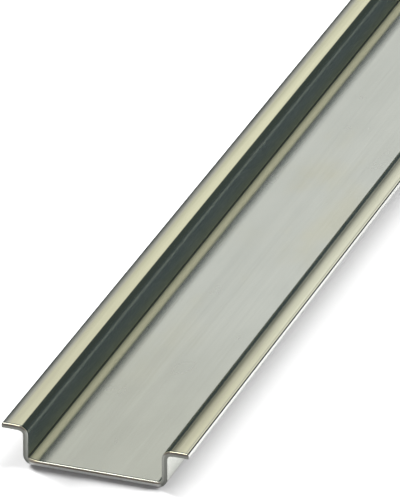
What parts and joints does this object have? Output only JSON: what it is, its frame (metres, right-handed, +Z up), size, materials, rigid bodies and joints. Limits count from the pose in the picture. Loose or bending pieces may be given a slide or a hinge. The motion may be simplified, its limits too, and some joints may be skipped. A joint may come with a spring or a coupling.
{
  "type": "din rail",
  "caption": "Unperforated steel top-hat mounting rail: a shallow channel with outward lips that clip-on control gear hooks over.",
  "frame": {"origin": "on the underside of the web, at mid width and mid length", "axes": "+X across the rail, +Y along the rail, +Z up from the web out of the open side"},
  "size_m": [0.035, 0.5, 0.0075],
  "materials": {
    "zinc_plated_steel": "zinc plated and thick-film passivated, satin, fine rolling lines along the length"
  },
  "bodies": {
    "root": {"rail": "zinc_plated_steel"}
  },
  "joints": []
}
